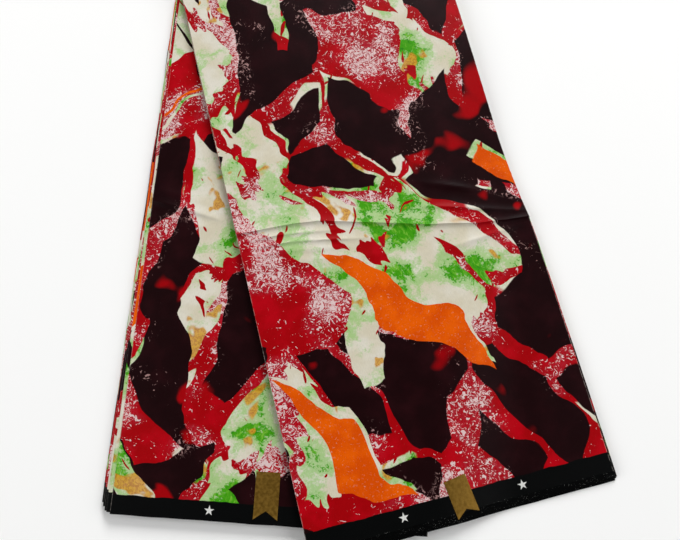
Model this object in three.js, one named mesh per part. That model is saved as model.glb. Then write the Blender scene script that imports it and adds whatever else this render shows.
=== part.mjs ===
import * as THREE from 'three';

// Six yards of printed cotton, folded like an accordion into one long strip and then
// laid over once on a slanting line, so that two arms open downwards as a shallow V.
// Millimetres, +Z up, the underside on Z = 0, the origin under the middle of the bundle.

// the cloth
const panelWidth = 305;        // one accordion panel, fold to fold
const clothWidth = 1200;       // selvedge to selvedge, along both arms and round the bend
const frontArm = 606;          // longest front layer, bend to selvedge along its middle
const leafWall = 1;            // one outer leaf, two plies
const seamGap = 0.3;           // left between leaves that lie on each other

// the pile
const stackDepth = 6.6;        // hidden layers of the front arm
const slotDepth = 1.7;         // room between the arms for the back arm's top leaf
const lipCount = 8;            // folded leaves that show at the sides of the hidden layers
const lipInset = 1.1;          // depth of the groove between two of them
const leafInset = 0.35;        // rounding of an outer leaf's edge

// how it is laid
const foldTurn = 5.15;         // degrees, slope of the bend to X
const armSpread = 9.03;        // degrees, each arm to the bend's normal
const foldCorner = { x: -202.63, y: 286.42 };   // left end of the bend
const bendShare = 0.37;        // share of a layer's way round the bend that the front arm gives
const slideShare = 0.35;       // the same for the sideways slip along the bend
const drapeStart = 8;          // front arm starts to sink this far past the back arm's side
const endDrapeStart = 18;      // and past the back arm's end
const drapeRun = 80;           // and would reach the surface over this length

const waist = 6.2;             // front arm's right side draws in by this between bend and crease

// sideways place of the hidden leaves at the selvedges, from the inside of the bend outwards
const leafSlips = [
  { front: 2.6, back: -3.4 },
  { front: 4.2, back: -5.2 },
  { front: 3.1, back: -7.4 },
  { front: 3.9, back: -6.2 },
  { front: 2.2, back: -8.6 },
  { front: 2.9, back: -9.2 },
  { front: 1.4, back: -7.8 },
  { front: 1.9, back: -9.0 },
];

// storage creases across the arms: distance down the left edge, slant, ridge height, width,
// and how far across the arm the ridge runs
const frontCreases = [
  { at: 300, slant: 0.174, height: 2.4, width: 9, from: -20, to: 330 },
  { at: 318, slant: 0.15, height: 1.1, width: 6, from: -20, to: 190 },
  { at: 281, slant: 0.19, height: 0.9, width: 7, from: 130, to: 330 },
];
const backCreases = [
  { at: 250, slant: 0.2, height: 1.6, width: 8, from: -30, to: 62 },
];

// foil labels: corner nearest the bend, tilt to the arm in degrees, size, notch in the tail
const labelWall = 0.6;
const frontLabel = { across: 141.6, down: 588.9, tilt: 7.2, width: 22.5, length: 36, notch: 6 };
const backLabel = { across: 136.9, down: 518.4, tilt: 0.8, width: 23.5, length: 44, notch: 8 };

// mesh steps
const acrossSteps = 14;
const bendSteps = 8;
const foldToCrease = [0.05, 0.2, 0.35, 0.5, 0.64, 0.76, 0.86, 0.92, 0.95, 0.975];
const creaseToEnd = [1, 1.025, 1.05, 1.08, 1.13, 1.22, 1.34, 1.48, 1.62, 1.76, 1.88, 2];
const labelSteps = { across: 6, down: 8 };

const turn = THREE.MathUtils.degToRad(foldTurn);
const spread = THREE.MathUtils.degToRad(armSpread);
const innerRadius = slotDepth / 2;
const outerRadius = innerRadius + stackDepth;
const axisHeight = outerRadius + seamGap + leafWall;
const slotFloor = axisHeight - innerRadius;
const slotRoof = axisHeight + innerRadius;
const backLeafFloor = slotFloor + seamGap;

const lerp = THREE.MathUtils.lerp;
const ramp = (value, from, to) => THREE.MathUtils.smoothstep(value, from, to);
const wayRound = (radius) => (Math.PI * radius) / Math.cos(spread);
const endSkew = (panelWidth / 2) * Math.tan(spread);
const backArm = clothWidth - frontArm - wayRound(innerRadius);

// distance from the bend's left end down the arm to the selvedge, for a layer at a radius
const frontEnd = (radius) => frontArm + endSkew - bendShare * wayRound(radius);
const backEnd = (radius) => backArm - endSkew - (1 - bendShare) * wayRound(radius);

// along is measured on the bend line, out is square to it
function onPlan(along, out) {
  return {
    x: foldCorner.x + along * Math.cos(turn) - out * Math.sin(turn),
    y: foldCorner.y + along * Math.sin(turn) + out * Math.cos(turn),
  };
}

function frontToBend(across, down) {
  return {
    along: across * Math.cos(spread) + down * Math.sin(spread),
    out: across * Math.sin(spread) - down * Math.cos(spread),
  };
}

function backToBend(across, down) {
  return {
    along: across * Math.cos(spread) - down * Math.sin(spread),
    out: -across * Math.sin(spread) - down * Math.cos(spread),
  };
}

function ridge(creases, across, down) {
  return creases.reduce((sum, crease) => {
    const off = (down - crease.at - crease.slant * across) / crease.width;
    const ends = ramp(across, crease.from, crease.from + 25)
      * (1 - ramp(across, crease.to - 45, crease.to));
    return sum + crease.height * ends * Math.exp(-off * off);
  }, 0);
}

// underside of the front arm: on the back arm, then sinking past its side and its end
function frontFloor(across, down) {
  const { along, out } = frontToBend(across, down);
  const pastSide = along * Math.cos(spread) - out * Math.sin(spread) - panelWidth;
  const pastEnd = -along * Math.sin(spread) - out * Math.cos(spread) - backEnd(0);
  return slotRoof
    * (1 - ramp(pastSide, drapeStart, drapeStart + drapeRun))
    * (1 - ramp(pastEnd, endDrapeStart, endDrapeStart + drapeRun));
}

// a station is 0 at the bend, 1 at the main crease and 2 at the selvedge
function stationDown(station, bendDown, creaseDown, endDown) {
  return station < 1
    ? lerp(bendDown, creaseDown, station)
    : lerp(creaseDown, endDown, station - 1);
}

// the hidden leaves fan out sideways on their way to the selvedges
const frontFan = (station) => ramp(station, 0.5, 1.9);
const backFan = (station) => lerp(0.6, 1, ramp(station, 0.3, 2));

const drawnIn = (station) => waist * (1 - ramp(station, 0.68, 1.12));

// A point of a layer on its way down the front arm. share runs 0 to 1 across the layer,
// lift is its height over the arm's floor without the ridge, lifted the share of the ridge it takes.
function frontPoint(layer, share, station, lift, lifted) {
  const slip = slideShare * Math.PI * layer.radius * Math.sin(spread)
    + layer.slip.front * frontFan(station);
  const across = slip
    + lerp(layer.inset, panelWidth - drawnIn(station) - layer.inset, share);
  const down = stationDown(
    station,
    across * Math.tan(spread),
    frontCreases[0].at + frontCreases[0].slant * across,
    frontEnd(layer.radius) - layer.inset,
  );
  const { along, out } = frontToBend(across, down);
  const plan = onPlan(along, out);
  const shown = ramp(down, 20, 80);
  const z = frontFloor(across, down) + lift + lifted * shown * ridge(frontCreases, across, down);
  return [plan.x, plan.y, z];
}

function backPoint(layer, share, station, height, lifted) {
  const slip = layer.slip.back * backFan(station)
    - (1 - slideShare) * Math.PI * layer.radius * Math.sin(spread);
  const across = slip + lerp(layer.inset, panelWidth - layer.inset, share);
  const down = stationDown(
    station,
    -across * Math.tan(spread),
    backCreases[0].at + backCreases[0].slant * across,
    backEnd(layer.radius) - layer.inset,
  );
  const { along, out } = backToBend(across, down);
  const plan = onPlan(along, out);
  return [plan.x, plan.y, height + lifted * ridge(backCreases, across, down)];
}

// A point on the way round the bend, angle 0 on top and 180 degrees underneath.
function bendPoint(layer, share, angle) {
  const slide = (slideShare * Math.PI - angle) * layer.radius * Math.tan(spread);
  const slip = layer.slip.back * backFan(0) * (angle / Math.PI);
  const pulled = drawnIn(0) * (1 - angle / Math.PI);
  const across = slip + lerp(layer.inset, panelWidth - pulled - layer.inset, share);
  const plan = onPlan(across / Math.cos(spread) + slide, layer.radius * Math.sin(angle));
  return [plan.x, plan.y, axisHeight + layer.radius * Math.cos(angle)];
}

// Closed skin of a mapped box: place(i, j, k) gives the point of each lattice node.
function mappedBox(ni, nj, nk, place) {
  const points = [];
  const index = new Map();
  const node = (i, j, k) => {
    const key = (i * (nj + 1) + j) * (nk + 1) + k;
    if (!index.has(key)) {
      index.set(key, points.length / 3);
      points.push(...place(i, j, k));
    }
    return index.get(key);
  };
  const faces = [];
  const quad = (a, b, c, d) => faces.push(a, b, c, a, c, d);
  for (let i = 0; i < ni; i += 1) {
    for (let j = 0; j < nj; j += 1) {
      quad(node(i, j, nk), node(i + 1, j, nk), node(i + 1, j + 1, nk), node(i, j + 1, nk));
      faces.push(node(i, j, 0), node(i + 1, j + 1, 0), node(i + 1, j, 0));
      faces.push(node(i, j, 0), node(i, j + 1, 0), node(i + 1, j + 1, 0));
    }
  }
  for (let i = 0; i < ni; i += 1) {
    for (let k = 0; k < nk; k += 1) {
      quad(node(i, 0, k), node(i + 1, 0, k), node(i + 1, 0, k + 1), node(i, 0, k + 1));
      quad(node(i, nj, k), node(i, nj, k + 1), node(i + 1, nj, k + 1), node(i + 1, nj, k));
    }
  }
  for (let j = 0; j < nj; j += 1) {
    for (let k = 0; k < nk; k += 1) {
      quad(node(0, j, k), node(0, j, k + 1), node(0, j + 1, k + 1), node(0, j + 1, k));
      quad(node(ni, j, k), node(ni, j + 1, k), node(ni, j + 1, k + 1), node(ni, j, k + 1));
    }
  }
  if (signedVolume(points, faces) < 0) {
    for (let f = 0; f < faces.length; f += 3) {
      [faces[f + 1], faces[f + 2]] = [faces[f + 2], faces[f + 1]];
    }
  }
  const geometry = new THREE.BufferGeometry();
  geometry.setAttribute('position', new THREE.Float32BufferAttribute(points, 3));
  geometry.setIndex(faces);
  geometry.computeVertexNormals();
  return geometry;
}

function signedVolume(points, faces) {
  const corner = (f) => new THREE.Vector3().fromArray(points, faces[f] * 3);
  let sum = 0;
  for (let f = 0; f < faces.length; f += 3) {
    sum += corner(f).dot(corner(f + 1).cross(corner(f + 2)));
  }
  return sum / 6;
}

const stillSlip = { front: 0, back: 0 };

// Hidden layers: one solid from the front selvedge round the bend to the back selvedge.
const stackLevels = 2 * lipCount;

function stackLayer(level) {
  const radius = innerRadius + (stackDepth * level) / stackLevels;
  if (level % 2 === 1) {
    return { radius, inset: 0, slip: leafSlips[(level - 1) / 2] };
  }
  const below = leafSlips[Math.max(0, level / 2 - 1)];
  const above = leafSlips[Math.min(lipCount - 1, level / 2)];
  const slip = {
    front: (below.front + above.front) / 2,
    back: (below.back + above.back) / 2,
  };
  return { radius, inset: lipInset, slip };
}

const armStations = [...foldToCrease, ...creaseToEnd];

const stackRows = [
  ...armStations.toReversed().map((station) => ({ arm: 'front', station })),
  ...Array.from({ length: bendSteps + 1 }, (_, n) => ({ arm: 'bend', angle: (Math.PI * n) / bendSteps })),
  { arm: 'tuck', station: 0.0016 },
  { arm: 'back', station: 0.004 },
  ...armStations.map((station) => ({ arm: 'back', station })),
];

const hiddenLayers = mappedBox(acrossSteps, stackRows.length - 1, stackLevels, (i, j, k) => {
  const layer = stackLayer(k);
  const share = i / acrossSteps;
  const depth = k / stackLevels;
  const row = stackRows[j];
  if (row.arm === 'front') {
    return frontPoint(layer, share, row.station, stackDepth * depth, depth);
  }
  if (row.arm === 'bend') {
    return bendPoint(layer, share, row.angle);
  }
  if (row.arm === 'tuck') {
    return backPoint(layer, share, row.station, slotFloor - stackDepth * depth, 0);
  }
  return backPoint(layer, share, row.station, slotFloor * (1 - depth), 1 - depth);
});

// Outer leaf of the front arm, round the bend and under it.
const leafLevels = 2;
const frontLeafRadius = outerRadius + seamGap;

const frontLeafRows = [
  ...armStations.toReversed().map((station) => ({ arm: 'front', station })),
  ...Array.from({ length: bendSteps + 1 }, (_, n) => ({ arm: 'bend', angle: (Math.PI * n) / bendSteps })),
];

const leafLayer = (radius, level) => ({
  radius,
  inset: level === 1 ? 0 : leafInset,
  slip: stillSlip,
});

function frontLeafPoint(share, row, level) {
  const rise = (leafWall * level) / leafLevels;
  const layer = leafLayer(frontLeafRadius + rise, level);
  if (row.arm === 'front') {
    return frontPoint(layer, share, row.station, stackDepth + seamGap + rise, 1);
  }
  return bendPoint(layer, share, row.angle);
}

const frontLeaf = mappedBox(acrossSteps, frontLeafRows.length - 1, leafLevels, (i, j, k) =>
  frontLeafPoint(i / acrossSteps, frontLeafRows[j], k));

// Top leaf of the back arm, from inside the bend to its selvedge.
const backLeafStations = [0.004, ...armStations];

function backLeafPoint(share, station, level) {
  const rise = (leafWall * level) / leafLevels;
  return backPoint(leafLayer(0, level), share, station, backLeafFloor + rise, 1);
}

const backLeaf = mappedBox(acrossSteps, backLeafStations.length - 1, leafLevels, (i, j, k) =>
  backLeafPoint(i / acrossSteps, backLeafStations[j], k));

// Height of a leaf's faceted top over a point of the plan.
function topHeight(geometry, ni, nj, pointAt) {
  const cells = [];
  for (let i = 0; i < ni; i += 1) {
    for (let j = 0; j < nj; j += 1) {
      const [a, b, c, d] = [[i, j], [i + 1, j], [i + 1, j + 1], [i, j + 1]]
        .map(([m, n]) => new THREE.Vector3(...pointAt(m, n)));
      cells.push(new THREE.Triangle(a, b, c), new THREE.Triangle(a, c, d));
    }
  }
  const flat = (triangle) => new THREE.Triangle(
    ...[triangle.a, triangle.b, triangle.c].map((p) => new THREE.Vector3(p.x, p.y, 0)),
  );
  const flats = cells.map(flat);
  return (x, y) => {
    const at = new THREE.Vector3(x, y, 0);
    const weights = new THREE.Vector3();
    for (let n = 0; n < cells.length; n += 1) {
      flats[n].getBarycoord(at, weights);
      if (weights.x > -1e-6 && weights.y > -1e-6 && weights.z > -1e-6) {
        return cells[n].a.z * weights.x + cells[n].b.z * weights.y + cells[n].c.z * weights.z;
      }
    }
    return 0;
  };
}

// The front arm's top is read only where it lies open, the back arm's likewise.
const openRows = frontLeafRows.filter((row) => row.arm === 'front');
const frontTop = topHeight(frontLeaf, acrossSteps, openRows.length - 1, (i, j) =>
  frontLeafPoint(i / acrossSteps, openRows[j], leafLevels));
const backTop = topHeight(backLeaf, acrossSteps, backLeafStations.length - 1, (i, j) =>
  backLeafPoint(i / acrossSteps, backLeafStations[j], leafLevels));

// Foil label with a swallowtail at its lower end, lying on the leaf.
function labelGeometry(label, toBend, top, leafEnd) {
  const tilt = THREE.MathUtils.degToRad(label.tilt);
  const over = (across, down) => {
    const { along, out } = toBend(across, down);
    return onPlan(along, out);
  };
  return mappedBox(labelSteps.across, labelSteps.down, 1, (i, j, k) => {
    const side = label.width * (i / labelSteps.across);
    const tail = label.notch * (1 - Math.abs((2 * i) / labelSteps.across - 1));
    const reach = (label.length - tail) * (j / labelSteps.down);
    const across = label.across + side * Math.cos(tilt) + reach * Math.sin(tilt);
    const down = label.down - side * Math.sin(tilt) + reach * Math.cos(tilt);
    const plan = over(across, down);
    const held = over(across, Math.min(down, leafEnd - 1));
    return [plan.x, plan.y, top(held.x, held.y) + seamGap + labelWall * k];
  });
}

const cloth = new THREE.MeshStandardMaterial({ color: 0x8a2a2c, roughness: 0.62, metalness: 0 });
const plies = new THREE.MeshStandardMaterial({ color: 0x6d2427, roughness: 0.7, metalness: 0 });
const foil = new THREE.MeshStandardMaterial({ color: 0x9a8046, roughness: 0.3, metalness: 0.8 });

const bundle = new THREE.Group();

function add(name, geometry, material) {
  const mesh = new THREE.Mesh(geometry, material);
  mesh.name = name;
  bundle.add(mesh);
}

add('hidden_layers', hiddenLayers, plies);
add('front_leaf', frontLeaf, cloth);
add('back_leaf', backLeaf, cloth);
add('front_label', labelGeometry(frontLabel, frontToBend, frontTop, frontEnd(axisHeight)), foil);
add('back_label', labelGeometry(backLabel, backToBend, backTop, backEnd(0)), foil);

export default bundle;
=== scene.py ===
import math

import bpy
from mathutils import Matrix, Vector, noise


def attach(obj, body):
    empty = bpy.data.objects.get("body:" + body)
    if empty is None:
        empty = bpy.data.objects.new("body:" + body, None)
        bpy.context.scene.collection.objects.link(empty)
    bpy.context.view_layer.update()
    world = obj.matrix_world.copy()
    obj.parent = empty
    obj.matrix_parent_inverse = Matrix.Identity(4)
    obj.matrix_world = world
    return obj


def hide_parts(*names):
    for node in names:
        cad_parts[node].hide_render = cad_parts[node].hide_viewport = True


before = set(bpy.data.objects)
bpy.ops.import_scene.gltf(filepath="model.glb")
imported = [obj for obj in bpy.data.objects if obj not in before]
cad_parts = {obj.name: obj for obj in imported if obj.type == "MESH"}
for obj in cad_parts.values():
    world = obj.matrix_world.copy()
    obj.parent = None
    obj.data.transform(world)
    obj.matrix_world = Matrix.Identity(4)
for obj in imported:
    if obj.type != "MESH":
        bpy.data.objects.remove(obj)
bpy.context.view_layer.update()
print("cad nodes in place")


# the folded strip and how it is laid, metres and degrees
laid = {
    "panel": 0.305,
    "clothWidth": 1.2,
    "frontArm": 0.606,
    "stack": 0.0066,           # hidden plies of one arm
    "slot": 0.0017,            # between the two arms
    "leaf": 0.001,
    "gap": 0.0003,
    "turn": 5.15,
    "spread": 9.03,
    "corner": (-0.20263, 0.28642),
    "bendShare": 0.37,         # of the way round the bend, taken from the upper arm
    "slideShare": 0.35,        # of the sideways slide round the bend, in the upper arm
    "sideDrape": 0.008,        # past the lower arm's side, where the upper arm starts to sink
    "endDrape": 0.018,
    "drapeRun": 0.08,
    "waist": 0.0062,           # drawn in from the bend to the main crease
    "waistFrom": 0.68,
    "waistTo": 1.12,
    "creasesFrom": 0.02,       # no creases near the bend
    "creasesTo": 0.08,
    "coveredFrom": 0.055,      # the lower arm's creases fade under the upper arm
    "coveredTo": 0.085,
}

turn = math.radians(laid["turn"])
spread = math.radians(laid["spread"])
panel = laid["panel"]
innerRadius = laid["slot"] / 2
outerRadius = innerRadius + laid["stack"]
leafRadius = outerRadius + laid["gap"] + laid["leaf"]
axisHeight = leafRadius
backTop = axisHeight - innerRadius + laid["gap"] + laid["leaf"]
frontRest = axisHeight + innerRadius
endSkew = panel / 2 * math.tan(spread)
tiny = 1e-6


def ramp(value, low, high):
    t = min(max((value - low) / (high - low), 0.0), 1.0)
    return t * t * (3 - 2 * t)


def between(first, second, t):
    return first + (second - first) * t


def wayRound(radius):
    return math.pi * radius / math.cos(spread)


backArm = laid["clothWidth"] - laid["frontArm"] - wayRound(innerRadius)
clothLength = laid["frontArm"] + backArm


def frontEnd(radius):
    return laid["frontArm"] + endSkew - laid["bendShare"] * wayRound(radius)


def backEnd(radius):
    return backArm - endSkew - (1 - laid["bendShare"]) * wayRound(radius)


def onPlan(along, out):
    x, y = laid["corner"]
    return (x + along * math.cos(turn) - out * math.sin(turn),
            y + along * math.sin(turn) + out * math.cos(turn))


def frontPlan(across, down):
    return onPlan(across * math.cos(spread) + down * math.sin(spread),
                  across * math.sin(spread) - down * math.cos(spread))


def backPlan(across, down):
    return onPlan(across * math.cos(spread) - down * math.sin(spread),
                  -across * math.sin(spread) - down * math.cos(spread))


def drawnIn(station):
    return laid["waist"] * (1 - ramp(station, laid["waistFrom"], laid["waistTo"]))


def uncovered(across):
    return 1 - ramp(across, laid["coveredFrom"], laid["coveredTo"])


# storage creases: path across the arm, height, reach towards the bend and towards the selvedge,
# how far each end fades, and how round the top is
plainRound = 1.3
frontCreases = [
    {"path": [(-0.01, 0.299), (0.06, 0.3025), (0.0885, 0.3062), (0.142, 0.3215), (0.195, 0.337),
              (0.2476, 0.3478), (0.315, 0.3530)],
     "height": 0.0028, "before": 0.0105, "after": 0.0026, "fade": 0.004, "round": 1.0},
    {"path": [(-0.01, 0.3075), (0.05, 0.3115), (0.12, 0.322)],
     "height": 0.0019, "before": 0.0034, "after": 0.0021, "fade": 0.05, "round": 1.0},
    {"path": [(-0.01, 0.3165), (0.06, 0.3215), (0.15, 0.3395)],
     "height": 0.0022, "before": 0.0036, "after": 0.0022, "fade": 0.06, "round": 1.0},
    {"path": [(-0.01, 0.3255), (0.05, 0.3290), (0.13, 0.3450)],
     "height": 0.0015, "before": 0.0036, "after": 0.0026, "fade": 0.06, "round": 1.1},
    {"path": [(-0.01, 0.3400), (0.06, 0.3420), (0.17, 0.3620)],
     "height": 0.0008, "before": 0.0050, "after": 0.0045, "fade": 0.07, "round": plainRound},
    {"path": [(0.18, 0.3120), (0.25, 0.3320), (0.315, 0.3480)],
     "height": 0.0023, "before": 0.0044, "after": 0.0022, "fade": 0.05, "round": 1.0},
    {"path": [(0.19, 0.2860), (0.26, 0.3140), (0.315, 0.3420)],
     "height": 0.0018, "before": 0.0050, "after": 0.0028, "fade": 0.05, "round": 1.1},
    {"path": [(0.19, 0.3700), (0.25, 0.3630), (0.315, 0.3570)],
     "height": 0.0018, "before": 0.0045, "after": 0.0040, "fade": 0.05, "round": 1.2},
    {"path": [(0.21, 0.3990), (0.27, 0.3820), (0.315, 0.3660)],
     "height": 0.0008, "before": 0.0070, "after": 0.0060, "fade": 0.05, "round": plainRound},
]
backCreases = [
    {"path": [(-0.015, 0.2475), (0.03, 0.2560), (0.08, 0.2680), (0.12, 0.2760)],
     "height": 0.0022, "before": 0.0080, "after": 0.0030, "fade": 0.03, "round": 1.1},
    {"path": [(-0.015, 0.2600), (0.03, 0.2690), (0.08, 0.2810)],
     "height": 0.0007, "before": 0.0040, "after": 0.0040, "fade": 0.03, "round": plainRound},
    {"path": [(-0.015, 0.2350), (0.03, 0.2420), (0.07, 0.2510)],
     "height": 0.0006, "before": 0.0060, "after": 0.0050, "fade": 0.03, "round": plainRound},
]
mainCrease = frontCreases[0]


def creaseDown(crease, across):
    path = crease["path"]
    for (a0, d0), (a1, d1) in zip(path, path[1:]):
        if across <= a1 or (a1, d1) == path[-1]:
            return between(d0, d1, (across - a0) / (a1 - a0))


def creaseLift(creases, across, down):
    lift = 0.0
    for crease in creases:
        start, end = crease["path"][0][0], crease["path"][-1][0]
        shown = ramp(across, start, start + crease["fade"]) * (1 - ramp(across, end - crease["fade"], end))
        if shown <= 0:
            continue
        off = down - creaseDown(crease, min(max(across, start), end))
        reach = crease["before"] if off < 0 else crease["after"]
        lift += crease["height"] * shown * math.exp(-abs(off / reach) ** crease["round"])
    return lift


def frontFloor(across, down):
    along = across * math.cos(spread) + down * math.sin(spread)
    out = across * math.sin(spread) - down * math.cos(spread)
    pastSide = along * math.cos(spread) - out * math.sin(spread) - panel
    pastEnd = -along * math.sin(spread) - out * math.cos(spread) - backEnd(0)
    side = 1 - ramp(pastSide, laid["sideDrape"], laid["sideDrape"] + laid["drapeRun"])
    end = 1 - ramp(pastEnd, laid["endDrape"], laid["endDrape"] + laid["drapeRun"])
    return frontRest * side * end


# soft waves all over a leaf: how many a metre, across and down the arm, and their height
leafWaves = [
    {"across": 9, "down": 7, "height": 0.00045, "seed": 0},
    {"across": 34, "down": 26, "height": 0.00016, "seed": 4},
]


def softness(across, down, seed):
    lift = 0.0
    for wave in leafWaves:
        spot = Vector((across * wave["across"], down * wave["down"], seed + wave["seed"]))
        lift += wave["height"] * noise.noise(spot)
    return lift


def awayFromBend(down):
    return ramp(down, laid["creasesFrom"], laid["creasesTo"])


def frontTop(across, down):
    rise = laid["stack"] + laid["gap"] + laid["leaf"]
    lift = creaseLift(frontCreases, across, down) + softness(across, down, upperCloth["softSeed"])
    return frontFloor(across, down) + rise + awayFromBend(down) * lift


def backTopAt(across, down):
    lift = creaseLift(backCreases, across, down) * uncovered(across)
    return backTop + lift + lowerCloth["softShare"] * softness(across, down, lowerCloth["softSeed"])


# a station runs from 0 at the bend to 1 at the crease and 2 at the selvedge
def stationDown(station, bendDown, creaseAt, endDown):
    if station < 1:
        return between(bendDown, creaseAt, station)
    return between(creaseAt, endDown, station - 1)


# rows lie closest together beside the crease
rowZones = {"fine": 0.022, "medium": 0.05, "reach": 0.33, "pastCrease": 0.3}


def stationList(toCrease, fine, wide):
    stations = []
    zones = [(0.0, rowZones["fine"], fine), (rowZones["fine"], rowZones["medium"], fine * 2),
             (rowZones["medium"], rowZones["reach"], wide)]
    for low, high, size in zones:
        count = max(1, round((high - low) / size))
        stations += [between(low, high, n / count) for n in range(count)]
    pastCrease = rowZones["pastCrease"]
    early = [1 - s / toCrease for s in stations if s < toCrease]
    late = [1 + s / pastCrease for s in stations if s < pastCrease - wide / 2]
    return sorted(set(early[1:] + late)) + [2.0]


# the cut end is not quite straight
endWave = {"size": 0.0004, "scale": 40, "from": 1.8}


def endWander(across, station, seed):
    spot = Vector((across * endWave["scale"], *seed))
    return endWave["size"] * noise.noise(spot) * ramp(station, endWave["from"], 2)


def addGrid(name, columns, rows):
    bpy.ops.object.select_all(action="DESELECT")
    bpy.ops.mesh.primitive_grid_add(x_subdivisions=columns, y_subdivisions=rows, size=1, location=(0, 0, 0))
    piece = bpy.context.object
    piece.name = name
    piece.data.name = name
    return piece


def applied(piece, kind, **settings):
    bpy.ops.object.select_all(action="DESELECT")
    piece.select_set(True)
    bpy.context.view_layer.objects.active = piece
    modifier = piece.modifiers.new(kind.title(), kind)
    for key, value in settings.items():
        setattr(modifier, key, value)
    bpy.ops.object.modifier_apply(modifier=modifier.name)


# rolled side of a folded leaf: distance in from the edge and drop, from the underside round to the top
rolledSide = {"from": -60, "turn": 30, "steps": 6, "flatFrom": 1.8}
leafSmooth = math.radians(50)


def rolledColumns(width, radius, count):
    edge = []
    for step in range(rolledSide["steps"]):
        angle = math.radians(rolledSide["from"] + rolledSide["turn"] * step)
        edge.append((radius - radius * math.cos(angle), radius * (math.sin(angle) - 1)))
    inward = radius * rolledSide["flatFrom"]
    edge.append((inward, 0.0))
    flat = [(between(inward, width - inward, n / count), 0.0) for n in range(1, count)]
    mirrored = [(width - u, drop) for u, drop in reversed(edge)]
    return edge + flat + mirrored


def layLeaf(leaf, rows, place):
    columns = rolledColumns(panel, leaf["roll"], leaf["columns"])
    piece = addGrid(leaf["name"], len(columns) - 1, len(rows) - 1)
    mesh = piece.data
    # worn marks the rolled sides, which the cotton paints paler: a painted highlight along the fold edges,
    # and wear
    worn = mesh.attributes.new("worn", "FLOAT", "POINT")
    clothSpot = []
    for vertex in mesh.vertices:
        i = round((vertex.co.x + 0.5) * (len(columns) - 1))
        j = round((vertex.co.y + 0.5) * (len(rows) - 1))
        vertex.co, spot = place(columns[i], rows[j])
        clothSpot.append(spot)
        fromSide = min(i, len(columns) - 1 - i)
        worn.data[vertex.index].value = 1.0 if fromSide < rolledSide["steps"] else 0.0
    layer = mesh.uv_layers.active
    layer.name = "cloth"
    for loop in mesh.loops:
        layer.data[loop.index].uv = clothSpot[loop.vertex_index]
    applied(piece, "SOLIDIFY", thickness=leaf["wall"], offset=-1, use_even_offset=True)
    bpy.ops.object.shade_smooth_by_angle(angle=leafSmooth)
    return piece


upperCloth = {
    "name": "upperCloth",
    "roll": 0.00042,
    "wall": 0.0003,
    "columns": 96,
    "toCrease": 0.3,
    "fineRow": 0.0011,
    "wideRow": 0.0045,
    "atBend": 0.004,
    "bendSteps": 18,
    "softSeed": 2.0,
    "endSeed": (3.0, 1.0),
    "printAt": 52.5,
}

frontStations = stationList(upperCloth["toCrease"], upperCloth["fineRow"], upperCloth["wideRow"])
upperRows = [("arm", s) for s in reversed(frontStations)] + [("arm", upperCloth["atBend"])]
upperRows += [("bend", math.pi * n / upperCloth["bendSteps"]) for n in range(upperCloth["bendSteps"] + 1)]


def upperPlace(column, row):
    u, drop = column
    kind, value = row
    armEnd = frontEnd(leafRadius)
    if kind == "arm":
        slip = laid["slideShare"] * math.pi * leafRadius * math.sin(spread)
        across = slip + u * (panel - drawnIn(value)) / panel
        down = stationDown(value, across * math.tan(spread), creaseDown(mainCrease, across), armEnd)
        x, y = frontPlan(across, down + endWander(u, value, upperCloth["endSeed"]))
        return (x, y, frontTop(across, down) + drop), (upperCloth["printAt"] + u, armEnd - down)
    radius = leafRadius + drop
    slide = (laid["slideShare"] * math.pi - value) * leafRadius * math.tan(spread)
    across = u * (panel - drawnIn(0) * (1 - value / math.pi)) / panel
    x, y = onPlan(across / math.cos(spread) + slide, radius * math.sin(value))
    travelled = armEnd - across * math.tan(spread) + leafRadius * value / math.cos(spread)
    return (x, y, axisHeight + radius * math.cos(value)), (upperCloth["printAt"] + u, travelled)


upper = layLeaf(upperCloth, upperRows, upperPlace)
print("upper cloth laid", len(upper.data.polygons))

lowerCloth = {
    "name": "lowerCloth",
    "roll": 0.00042,
    "wall": 0.0003,
    "columns": 96,
    "toCrease": 0.25,
    "creaseSlope": 0.2,
    "fineRow": 0.0014,
    "wideRow": 0.005,
    "atBend": 0.006,
    "softShare": 0.4,
    "softSeed": 9.0,
    "endSeed": (8.0, 2.0),
    "printAt": 6.3,
}

backStations = stationList(lowerCloth["toCrease"], lowerCloth["fineRow"], lowerCloth["wideRow"])
lowerRows = list(reversed(backStations)) + [lowerCloth["atBend"]]


def lowerCreaseDown(across):
    return lowerCloth["toCrease"] + lowerCloth["creaseSlope"] * across


def lowerPlace(column, station):
    across, drop = column
    down = stationDown(station, -across * math.tan(spread), lowerCreaseDown(across), backEnd(0))
    x, y = backPlan(across, down + endWander(across, station, lowerCloth["endSeed"]))
    spot = (lowerCloth["printAt"] + across, clothLength - (backEnd(0) - down))
    return (x, y, backTopAt(across, down) + drop), spot


lower = layLeaf(lowerCloth, lowerRows, lowerPlace)
print("lower cloth laid", len(lower.data.polygons))


# hidden plies of both arms, one body: folds at its sides, ply ends at its selvedges
hidden = {
    "name": "hiddenPlies",
    "folds": 8,
    "levels": (0.0, 0.08, 0.25, 0.5, 0.75, 0.92),
    "middle": 0.5,
    "groove": 0.0014,
    "endGroove": 0.0022,
    "outerInset": 0.0004,
    "across": 26,
    "frontRows": (0.0022, 0.0095),
    "backRows": (0.0028, 0.0095),
    "tuckAt": 0.0016,
    "bendSteps": 14,
    "under": 0.0004,           # below the outer face of the leaves
    "sunk": 0.0007,            # further below it away from the edges
    "sunkSide": (0.001, 0.012),
    "sunkEnd": 0.02,
    "sunkBend": (0.01, 0.1),
    "slotCloses": (0.02, 0.12),
    "creaseShare": 0.8,        # of the leaves' creases, followed by the plies
    "smooth": 40,
    "printAt": 5.0,
    "printStep": 0.61,
    "slips": [(0.0026, -0.0034), (0.0042, -0.0052), (0.0031, -0.0074), (0.0039, -0.0062),
              (0.0022, -0.0086), (0.0029, -0.0092), (0.0014, -0.0078), (0.0019, -0.0090)],
}

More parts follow.
